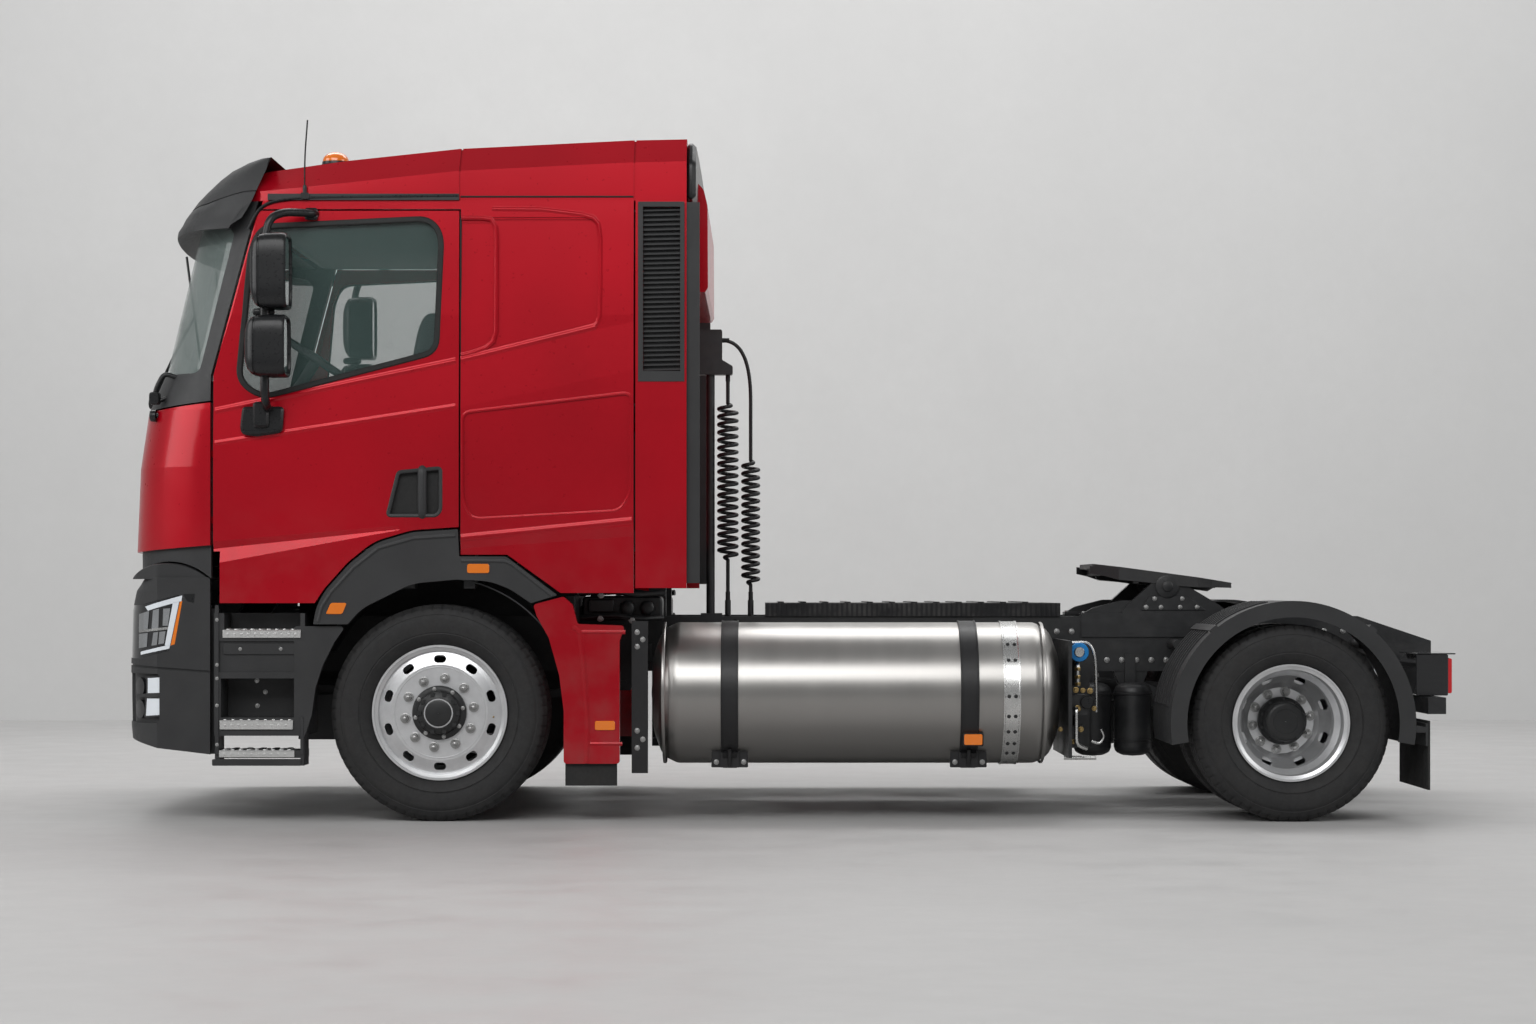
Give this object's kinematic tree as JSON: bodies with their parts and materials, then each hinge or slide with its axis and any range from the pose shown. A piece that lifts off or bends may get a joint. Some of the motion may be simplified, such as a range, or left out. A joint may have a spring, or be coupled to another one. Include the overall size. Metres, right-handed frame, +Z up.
{
  "type": "semi truck tractor unit",
  "caption": "Two-axle cab-over tractor unit with tilting sleeper cab, side gas tanks, steered front wheels, twin rear wheels and a tilting fifth wheel.",
  "frame": {"origin": "on the floor under the middle of the length, on the centre line", "axes": "+X to the rear, +Y to the vehicle's right-hand side, +Z up"},
  "size_m": [6.095, 3.02, 3.1256],
  "materials": {
    "red_paint": "gloss",
    "chassis_paint": "satin",
    "black_plastic": "grained",
    "grey_plastic": "grained",
    "lamp": "clear",
    "tail_red": "gloss",
    "steel": "brushed",
    "iron": "rough",
    "alloy": "chequered",
    "rim_silver": "satin",
    "tyre_rubber": "matt",
    "rubber": "matt",
    "glass": "tinted",
    "interior": "grained",
    "seat_cloth": "woven",
    "amber": "clear",
    "hose_red": "gloss",
    "hose_black": "gloss"
  },
  "bodies": {
    "chassis": {"frame": "chassis_paint", "deck": "alloy", "engine": "iron", "drive_shaft": "chassis_paint", "front_axle": "chassis_paint", "front_springs": "chassis_paint", "rear_axle": "chassis_paint", "rear_suspension": "chassis_paint", "bumper": "black_plastic", "front_lamps": "lamp", "steps": "black_plastic", "guards": "red_paint", "flaps": "rubber", "gas_tanks": "steel", "tank_mounts": "chassis_paint", "valves": "black_plastic", "air_tanks": "chassis_paint", "fifth_base": "chassis_paint", "fenders": "black_plastic", "tail_beam": "chassis_paint", "tail_lamps": "tail_red", "hose_stand": "chassis_paint", "hose_coil_1": "hose_black", "hose_coil_2": "hose_red", "hose_leads_1": "hose_black", "hose_leads_2": "hose_red"},
    "cab": {"cab_floor": "interior", "cab_front": "red_paint", "cab_neck": "black_plastic", "screen_frame": "black_plastic", "windscreen": "glass", "side_panels": "red_paint", "rear_corners": "red_paint", "rear_wall": "red_paint", "roof": "red_paint", "visor": "black_plastic", "flares": "black_plastic", "cab_trim": "black_plastic", "dashboard": "interior", "seats": "seat_cloth", "bunk": "seat_cloth", "roof_fittings": "amber"},
    "door_left": {"door_left": "red_paint", "door_glass_left": "glass", "mirrors_left": "black_plastic"},
    "door_right": {"door_right": "red_paint", "door_glass_right": "glass", "mirrors_right": "black_plastic"},
    "knuckle_left": {"knuckle_left": "iron"},
    "knuckle_right": {"knuckle_right": "iron"},
    "front_wheel_left": {"front_tyre_left": "tyre_rubber", "front_rim_left": "rim_silver"},
    "front_wheel_right": {"front_tyre_right": "tyre_rubber", "front_rim_right": "rim_silver"},
    "rear_wheels_left": {"rear_tyres_left": "tyre_rubber", "rear_rims_left": "rim_silver"},
    "rear_wheels_right": {"rear_tyres_right": "tyre_rubber", "rear_rims_right": "rim_silver"},
    "fifth_wheel_plate": {"fifth_plate": "iron"}
  },
  "joints": [
    {"name": "cab_tilt", "type": "hinge", "parent": "chassis", "child": "cab", "pos_m": [-2.7605, 0, 0.85], "axis": [0, -1, 0], "range_deg": [0, 60]},
    {"name": "door_left_hinge", "type": "hinge", "parent": "cab", "child": "door_left", "pos_m": [-2.5285, -1.233, 1.5], "axis": [0, 0, -1], "range_deg": [0, 75]},
    {"name": "door_right_hinge", "type": "hinge", "parent": "cab", "child": "door_right", "pos_m": [-2.5285, 1.233, 1.5], "axis": [0, 0, 1], "range_deg": [0, 75]},
    {"name": "steer_left", "type": "hinge", "parent": "chassis", "child": "knuckle_left", "pos_m": [-1.5475, -0.93, 0.485], "axis": [0, 0, 1], "range_deg": [-38, 38]},
    {"name": "steer_right", "type": "hinge", "parent": "chassis", "child": "knuckle_right", "pos_m": [-1.5475, 0.93, 0.485], "axis": [0, 0, 1], "range_deg": [-38, 38]},
    {"name": "front_wheel_left_roll", "type": "hinge", "parent": "knuckle_left", "child": "front_wheel_left", "pos_m": [-1.5475, -1.04, 0.485], "axis": [0, 1, 0], "continuous": true},
    {"name": "front_wheel_right_roll", "type": "hinge", "parent": "knuckle_right", "child": "front_wheel_right", "pos_m": [-1.5475, 1.04, 0.485], "axis": [0, 1, 0], "continuous": true},
    {"name": "rear_wheels_left_roll", "type": "hinge", "parent": "chassis", "child": "rear_wheels_left", "pos_m": [2.2525, -0.91, 0.44], "axis": [0, 1, 0], "continuous": true},
    {"name": "rear_wheels_right_roll", "type": "hinge", "parent": "chassis", "child": "rear_wheels_right", "pos_m": [2.2525, 0.91, 0.44], "axis": [0, 1, 0], "continuous": true},
    {"name": "fifth_wheel_tilt", "type": "hinge", "parent": "chassis", "child": "fifth_wheel_plate", "pos_m": [1.8025, 0, 1.05], "axis": [0, -1, 0], "range_deg": [0, 20]}
  ],
  "couplings": [
    {"joint": "steer_right", "follows": "steer_left", "ratio": 1}
  ]
}
